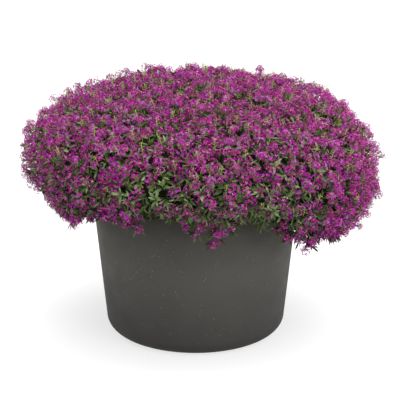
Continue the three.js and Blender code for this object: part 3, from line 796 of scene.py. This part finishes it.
def trail_heads(rng, trails, j):
    """Places, roots, normals, sizes and reaches of head j of the trails that hang down far enough for it."""
    long_enough = trails.drop > (TRAIL["more_drop"] * j + TRAIL["least_drop"]) * MM
    azimuth, roots, tips = pick(long_enough, trails.azimuth, trails.roots, trails.tips)
    n = len(azimuth)
    side = polar(1, azimuth + TURN / 4, 0) * rng.normal(0, 6 * MM, (n, 1))
    stem = roots + (tips - roots) * TRAIL["head_shares"][j]
    outward = polar(1, azimuth, 0)
    places = stem + side + outward * rng.uniform(1, 7, (n, 1)) * MM
    size = rng.uniform(0.85, 1.15, n)
    reach = np.full(n, TRAIL["head_reach"])
    return places, stem - (stem - roots) * 0.3, unit(outward - 0.35 * UP), size, reach


class Heads:
    """Every flower head: those on the cushion, and those on the trails."""

    def __init__(self, trails):
        rng = default_rng(11)
        *on_top, lifted = cushion_heads(rng)
        groups = [on_top] + [trail_heads(rng, trails, j) for j in range(len(TRAIL["head_shares"]))]
        self.places, self.roots, self.normals, size, self.reach = (np.concatenate(g) for g in zip(*groups))
        n = self.count = len(size)
        self.size = size
        self.lifted = np.append(lifted, np.zeros(n - len(lifted), bool))
        self.axes = unit(self.normals + 0.45 * UP + rng.normal(0, 0.2, (n, 3)))
        share = (size - size.min()) / (size.max() - size.min())
        spread = HEAD["most_florets"] - HEAD["least_florets"]
        fullness = np.clip(share + rng.normal(0, 0.2, n) + 0.45 * self.lifted, 0, 1)
        self.florets = (HEAD["least_florets"] + spread * fullness).round()
        self.luck = np.clip(0.5 + 0.1 * waves(self.places, 55 * MM, 9) + rng.normal(0, 0.08, n), 0, 1)
        self.stretch = rng.uniform(0, 5, n) * MM * (1 - 0.6 * (self.lifted | (self.reach > 1.1)))
        self.spin = rng.random(n) * TURN
        self.sector = flower_sector(self.places)

    def stem(self, share):
        """A point on each head's stem: share is 0 at the root and 1 under the head."""
        knee = self.places - self.axes * HEAD["knee_drop"] * MM
        share = share[:, None]
        lower = self.roots + (knee - self.roots) * (share / KNEE)
        upper = knee + (self.places - knee) * ((share - KNEE) / (1 - KNEE))
        return np.where(share < KNEE, lower, upper)


# Flowers

PETAL, CENTRE, BUD, STEM = range(4)


def add_pedicels(soup, feet, tips, tone):
    """Thin spikes from each foot to its tip."""
    points, faces, along = SPIKE
    x, y, z = axes_of(unit(tips - feet), np.zeros(len(feet)))
    length = np.linalg.norm(tips - feet, axis=1)
    thick = PEDICEL_RADIUS * (points[None, :, 0:1] * x[:, None] + points[None, :, 1:2] * y[:, None])
    spikes = feet[:, None] + thick + (points[None, :, 2:3] * length[:, None, None]) * z[:, None]
    soup.add(spikes, faces, STEM, tone, 0.6 * along)


def add_florets(soups, heads, axes, variants, j, rng):
    """Floret j of the spiral on every head that has so many, with its throat and pedicel."""
    n = heads.count
    x, y, z = axes
    dome = HEAD["dome"] * heads.size
    span, start = FLORET_ANGLES
    share = np.sqrt((j + 0.5) / heads.florets)
    theta = np.radians(span * share + start) + rng.normal(0, 0.09, n)
    phi = j * GOLDEN_ANGLE + rng.normal(0, 0.18, n)
    way = (np.sin(theta) * np.cos(phi))[:, None] * x + (np.sin(theta) * np.sin(phi))[:, None] * y
    spread = (dome * rng.uniform(0.88, 1.06, n))[:, None]
    drop = heads.stretch * share
    centres = heads.places + spread * way + (HEAD["flatness"] * dome * np.cos(theta) - drop)[:, None] * z
    facing = unit(way * 0.9 + (np.cos(theta) + 0.25)[:, None] * z + rng.normal(0, 0.16, (n, 3)))
    turned = axes_of(facing, rng.random(n) * TURN)
    size = FLORET_SIZE * rng.uniform(0.88, 1.1, n)
    tone = np.clip(heads.luck + rng.normal(0, 0.3, n), 0, 1)
    throat = rng.random(n)
    feet = heads.places - z * (dome * (0.1 + 0.5 * share) + drop)[:, None]
    variant = rng.integers(0, len(variants), n)
    for soup, mine in by_sector(soups, heads.sector):
        mine = mine & (j < heads.florets)
        for v, shape in enumerate(variants):
            soup.set_out(shape, PETAL, *pick(mine & (variant == v), tone, centres, *turned, size))
        soup.set_out(THROAT, CENTRE, *pick(mine, throat, centres, *turned, size))
        add_pedicels(soup, *pick(mine, feet, centres, tone))


def add_buds(soups, heads, axes, j, rng):
    """The bud at the tip of every head, where j is 0, or one beside it."""
    x, y, z = axes
    beside = j > 0
    phi = j * TURN / 2 + rng.normal(0, 0.5, heads.count)
    side = around(phi, x, y)
    rise = HEAD["dome"] * heads.size * HEAD["flatness"] + (0 if beside else BUD_RISE)
    centres = heads.places + BUD_SPREAD * beside * side + z * rise[:, None]
    turned = axes_of(unit(z + 0.5 * side * beside), phi)
    tone = np.clip(rng.normal(0.7, 0.25, heads.count), 0, 1)
    for soup, m in by_sector(soups, heads.sector):
        soup.set_out(BUD_SHAPE, BUD, *pick(m, tone, centres, *turned), rng.uniform(0.7, 1.05, m.sum()))


def add_heads(soups, heads):
    rng = default_rng(12)
    variants = [petals(rng) for _ in range(FLORET_VARIANTS)]
    axes = axes_of(heads.axes, heads.spin)
    for j in range(HEAD["most_florets"]):
        add_florets(soups, heads, axes, variants, j, rng)
    for j in range(3):
        add_buds(soups, heads, axes, j, rng)
    radius = HEAD["stem_radius"]
    for soup, m in by_sector(soups, heads.sector):
        for low, high in ((0.0, KNEE), (KNEE, 1.0)):
            starts, ends = (heads.stem(np.full(heads.count, s))[m] for s in (low, high))
            rods(soup, starts, ends, radius, radius * 0.8, STEM, heads.luck[m], (low, high))


def add_stalks(soups):
    """Gone-over stalks that stand up out of the cushion: a stem with pods on pedicels."""
    rng = default_rng(21)
    azimuth, reach = scatter(rng, 2000, 0.05, 1.4, evenly(30 * MM))
    sites, normals = on_cushion(azimuth, reach)
    n = len(sites)
    axes = unit(0.5 * normals + UP + rng.normal(0, 0.25, (n, 3)))
    length = rng.uniform(15, 23, n) * MM
    roots = sites + normals * (swell(azimuth, reach, sites) - 16 * MM)[:, None]
    tips = roots + axes * length[:, None]
    x, y, z = axes_of(axes, rng.random(n) * TURN)
    sector = flower_sector(sites)
    for soup, m in by_sector(soups, sector):
        rods(soup, roots[m], tips[m], 0.6 * MM, 0.45 * MM, STEM, rng.random(m.sum()), (0.7, 1.0))
    for j in range(9):
        share = 0.3 + 0.08 * j
        phi = j * GOLDEN_ANGLE + rng.normal(0, 0.2, n)
        foot = roots + axes * (length * share)[:, None]
        end = foot + (around(phi, x, y) + 0.35 * z) * (4.6 - 0.3 * j) * MM
        turned = axes_of(unit(end - foot), phi)
        tone = np.clip(rng.normal(0.03 + 0.03 * j, 0.08, n), 0, 1)
        for soup, m in by_sector(soups, sector):
            soup.set_out(POD_SHAPE, BUD, *pick(m, tone, end, *turned), rng.uniform(0.8, 1.15, m.sum()))
            rods(soup, foot[m], end[m], 0.2 * MM, 0.2 * MM, STEM, tone[m], (0.7, 1.0))


# Foliage

LEAF, INNER = range(2)


def add_leaf_set(soups, sector, roots, along, facing, length, width, tone, rng):
    """Leaves from their roots, along their length, with facing the side that they turn up."""
    x = unit(along)
    y = unit(np.cross(facing, x))
    z = np.cross(x, y)
    wide = y * (width / length)[:, None]
    kind = rng.integers(0, len(LEAF_SHAPES), len(roots))
    for soup, mine in by_sector(soups, sector):
        for v, shape in enumerate(LEAF_SHAPES):
            soup.set_out(shape, LEAF, *pick(mine & (kind == v), tone, roots, x, wide, z, length))


def add_leafy_stems(soups, sector, roots, tips, root_radius, tip_radius, rng):
    """Stems with the look of the lower half of a dark leaf."""
    for soup, m in by_sector(soups, sector):
        tone = rng.random(m.sum()) * 0.4
        rods(soup, roots[m], tips[m], root_radius, tip_radius, LEAF, tone, (0.1, 0.4))


def painted_light_high_up(reach):
    """Painted light: how much is added to the tone of leaves on the upper side of the bush, which is lit from
    above.
    """
    most, end, span = 0.34, 0.95, 0.3
    return most * np.clip((end - reach) / span, 0, 1)


def add_stem_leaves(soups, heads):
    """Narrow leaves up each flower stem, short on the stems that stand out above the rest."""
    rng = default_rng(41)
    n = heads.count
    upper = 0.75  # the reach down to which heads stand close
    sector = sector_of(heads.places)
    for j in range(4):
        open_share = fade(heads.reach, 0.8, 0.6)
        share = 0.1 + (0.13 + 0.08 * open_share) * j + rng.uniform(-0.05, 0.05, n)
        roots = heads.stem(share)
        side = unit(np.cross(heads.normals, unit(rng.normal(size=(n, 3)))))
        along = unit(heads.normals * rng.uniform(0.5, 1.1, n)[:, None] + side)
        short = np.where(heads.lifted & (heads.reach < upper), 0.55, 1)
        length = LEAF_LENGTH * rng.uniform(0.7, 1.1, n) * short
        # Leaves high on the bush get painted light
        tone = np.clip(0.2 + 0.15 * j + rng.normal(0, 0.15, n) + painted_light_high_up(heads.reach), 0, 1)
        width = length * rng.uniform(0.17, 0.23, n)
        m = (rng.random(n) < 0.45) | (heads.reach > upper)
        add_leaf_set(soups, *pick(m, sector, roots, along, heads.normals, length, width, tone), rng)


def add_shoots(soups):
    """Leafy shoots without flowers: a stem tip with a loose rosette of leaves."""
    rng = default_rng(42)
    azimuth, reach, sites, normals = sites_above_hem(rng, 9000, 0.05, 1.95, shoot_spacing)
    n = len(sites)
    axes = unit(normals + rng.normal(0, 0.45, (n, 3)) - 0.15 * UP * (reach > 1)[:, None])
    depth = rng.uniform(3, 10, n) + 10 * (1 - leafiness(azimuth, reach))
    tips = sites + normals * (swell(azimuth, reach, sites) - depth * MM)[:, None]
    sector = sector_of(sites)
    add_leafy_stems(soups, sector, tips - axes * SHOOT_STEM * MM, tips, 0.6 * MM, 0.45 * MM, rng)
    x, y, z = axes_of(axes, rng.random(n) * TURN)
    shoot_luck = rng.normal(0, 0.12, n)
    for j in range(8):
        phi = j * GOLDEN_ANGLE + rng.normal(0, 0.25, n)
        openness = 1.35 - 0.14 * j
        along = unit(around(phi, x, y) * openness + z * 0.75 + rng.normal(0, 0.25, (n, 3)))
        roots = tips - z * (11 - 1.4 * j) * MM
        length = LEAF_LENGTH * rng.uniform(0.85, 1.2, n) * (1.05 - 0.06 * j)
        tone = np.clip(0.55 + shoot_luck + rng.normal(0, 0.2, n) + 0.03 * j, 0, 1)
        add_leaf_set(soups, sector, roots, along, z, length, length * rng.uniform(0.21, 0.29, n), tone, rng)


def add_trail_leaves(soups, trails):
    """Trailing stems with leaves that hang and spread from them."""
    rng = default_rng(43)
    n = trails.count
    sector = sector_of(trails.roots)
    add_leafy_stems(soups, sector, trails.roots, trails.tips, 0.7 * MM, 0.4 * MM, rng)
    outward = polar(1, trails.azimuth, 0)
    across = polar(1, trails.azimuth + TURN / 4, 0)
    for j in range(12):
        share = (0.15 + 0.08 * j + rng.uniform(-0.05, 0.05, n))[:, None]
        roots = trails.roots + (trails.tips - trails.roots) * share
        swing = rng.normal(0, 0.9, (n, 1))
        along = outward * rng.uniform(0.1, 0.9, (n, 1)) + across * swing - UP * rng.uniform(0.2, 1.1, (n, 1))
        length = LEAF_LENGTH * rng.uniform(0.7, 1.1, n)
        tone = np.clip(rng.normal(0.5, 0.2, n), 0, 1)
        facing = unit(outward + 0.6 * UP + rng.normal(0, 0.3, (n, 3)))
        width = length * rng.uniform(0.18, 0.25, n)
        add_leaf_set(soups, sector, roots, along, facing, length, width, tone, rng)


def add_inner_leaves(soups):
    """Leaves all over the inside of the bush, which show in gaps between heads, and more near the hem."""
    rng = default_rng(44)
    _, reach, sites, normals = sites_above_hem(rng, 14000, 0.02, 1.85, evenly(12 * MM))
    n = len(sites)
    sector = sector_of(sites)
    for j in range(4):
        roots = sites - normals * rng.uniform(19, 29, (n, 1)) * MM + rng.normal(0, 4 * MM, (n, 3))
        side = unit(np.cross(normals, rng.normal(size=(n, 3))))
        along = unit(normals * rng.uniform(0.2, 0.9, (n, 1)) + side)
        length = LEAF_LENGTH * rng.uniform(0.7, 1.15, n)
        # Leaves high on the bush get painted light
        tone = np.clip(rng.normal(0.3, 0.18, n) + painted_light_high_up(reach), 0, 1)
        width = length * rng.uniform(0.2, 0.28, n)
        m = (reach > 1.3) | (j < 2)
        add_leaf_set(soups, *pick(m, sector, roots, along, normals, length, width, tone), rng)


def core_loop(azimuth):
    """The inner foliage's profile at one azimuth, from the middle plant over the top to the hem and back."""
    reach = np.linspace(CORE["first_reach"], CORE["last_reach"], CORE["rows"])
    points, normals = on_cushion(np.full(len(reach), azimuth), reach)
    points = points - normals * (CORE["depth"] - relief(points, CORE_RELIEF))[:, None]
    r, z = np.hypot(points[:, 0], points[:, 1]), points[:, 2].copy()
    rim, top = pot_radius(POT["height"]), POT["height"]
    skirt, over = rim + CORE["wall_gap"], top + CORE["rim_gap"]
    r[0] = MIDDLE_RADIUS
    hanging = reach > CORE["hanging"]
    cover = np.maximum.accumulate(np.where(hanging, 0, r))
    r = np.where(hanging, np.maximum(r, skirt + CORE["least_skirt"]), cover)
    hollow = along_hem(np.array([azimuth]), HOLLOWS)[0]
    low = min(z[-1] - CORE["hem_drop"] + hollow, top - CORE["least_drop"])
    z[-1] = low
    inner = [(skirt, low + 4 * MM), (skirt, over), (rim - 17 * MM, over), (rim - 26 * MM, CORE["floor"]),
             (MIDDLE_RADIUS, CORE["floor"])]
    return list(zip(r, z)) + inner


def middle_core():
    """Points and faces of the middle plant's inner foliage, a drum with a domed top."""
    peak, floor = outline(0.0, 0.0)[1] - CORE["depth"], CORE["floor"]
    edge, shoulder = MIDDLE_RADIUS * 0.98, MIDDLE_RADIUS * 0.6
    return lathe([(0, floor), (edge, floor), (edge, peak - 5 * MM), (shoulder, peak - 1 * MM), (0, peak)], 40)


def wedge_core(index):
    """Points and faces of the inner foliage of one of the plants round the middle."""
    columns = CORE["columns"]
    middle, half = (index - 1) * TURN / PLANT_COUNT, math.pi / PLANT_COUNT
    azimuths = [middle - half + 2 * half * c / (columns - 1) for c in range(columns)]
    loops = [core_loop(azimuth) for azimuth in azimuths]
    size = len(loops[0])
    points = [(r * math.cos(a), r * math.sin(a), z) for a, loop in zip(azimuths, loops) for r, z in loop]
    faces = []
    for c in range(columns - 1):
        for k in range(size):
            a, b = c * size + k, c * size + (k + 1) % size
            faces += [(a, b, b + size), (a, b + size, a + size)]
    for c, flip in ((0, True), (columns - 1, False)):
        for face in tessellate_polygon([[(r, z, 0) for r, z in loops[c]]]):
            corners = tuple(c * size + k for k in face)
            faces.append(corners[::-1] if flip else corners)
    return points, faces


def add_core(soup, index):
    """The dense inside of one plant, closed, with its woody crown in the soil."""
    points, faces = wedge_core(index) if index else middle_core()
    soup.add_solid(points, faces, INNER)
    low, level, high = SOIL["top"] - 20 * MM, SOIL["top"] + 4 * MM, CORE["floor"] + 6 * MM
    points, faces = lathe([(0, low), (7 * MM, low), (6 * MM, level), (8 * MM, high), (0, high)], 10)
    spot = polar(PLANT_CIRCLE if index else 0.0, (index - 1) * TURN / PLANT_COUNT, 0.0)
    soup.add_solid(np.array(points) + spot, faces, INNER)


def make_plants():
    trails = Trails()
    heads = Heads(trails)
    flower_soups = [Soup() for _ in plant_nodes]
    add_heads(flower_soups, heads)
    add_stalks(flower_soups)
    finishes = [petal_finish(), centre_finish(), bud_finish(), stem_finish()]
    for k, soup in enumerate(flower_soups):
        mine = [name for name, sector in zip(bunch_nodes, bunch_sectors) if sector == k]
        soup.piece(f"flowers_{k + 1}", finishes, mine, "petals")
    leaf_soups = [Soup() for _ in plant_nodes]
    add_stem_leaves(leaf_soups, heads)
    add_shoots(leaf_soups)
    add_trail_leaves(leaf_soups, trails)
    add_inner_leaves(leaf_soups)
    greens = [leaf_finish(), core_finish()]
    for k, soup in enumerate(leaf_soups):
        add_core(soup, k)
        soup.piece(f"foliage_{k + 1}", greens, [plant_nodes[k]], "foliage")


# Studio


def make_floor():
    h = 60.0  # half its width
    mesh = mesh_of("floor", [(-h, -h, 0), (h, -h, 0), (h, h, 0), (-h, h, 0)], [(0, 1, 2, 3)])
    f = Finish("studio_floor", Roughness=0.9, Specular_IOR_Level=0.0, Emission_Strength=0.7)
    f.colour(f.ramp(f.noise(2, 2), (0.3, 158, 158, 158), (0.7, 162, 162, 162)))
    mesh.materials.append(f.material)
    floor = add_object("floor", mesh)


def add_lamp(name, kind, place, target, **settings):
    """A light that shines from a place towards a target."""
    data = bpy.data.lights.new(name, kind)
    for setting, value in settings.items():
        setattr(data, setting, value)
    lamp = add_object(name, data)
    lamp.location = place
    lamp.rotation_euler = (Vector(target) - Vector(place)).to_track_quat("-Z", "Y").to_euler()


def make_studio():
    """A bright backdrop, a wide soft sun that lights the whole floor evenly, and a soft lamp on the right."""
    world = bpy.data.worlds.new("studio")
    sky = Nodes(world, "Background", Color=(1.0, 1.0, 1.0, 1.0))
    above = sky.node("SeparateXYZ", Vector=sky.node("TexCoord").outputs["Generated"]).outputs["Z"]
    sky.feed(sky.main, Strength=sky.levels(above, *WALL_TO_CEILING))
    bpy.context.scene.world = world
    add_lamp("overhead_softbox", "SUN", (0.35, -0.2, 2.6), (0, 0, 0), energy=4.2, angle=math.radians(65))
    add_lamp("right_softbox", "AREA", (1.8, -1.9, 1.1), (0, 0, 0.25), energy=16, shape="DISK", size=1.2)
    bpy.context.scene.view_settings.view_transform = "Standard"


def make_camera():
    data = bpy.data.cameras.new("camera")
    data.sensor_width = SENSOR
    data.lens = SENSOR * FOCAL_PIXELS / IMAGE_PIXELS
    data.shift_x = (IMAGE_PIXELS / 2 - AXIS_PIXEL) / IMAGE_PIXELS
    camera = add_object("camera", data)
    camera.location = CAMERA_PLACE
    camera.rotation_euler = (math.radians(90 - CAMERA_PITCH), 0, 0)
    bpy.context.scene.camera = camera


make_pot()
make_soil()
make_plants()
make_floor()
make_studio()
make_camera()
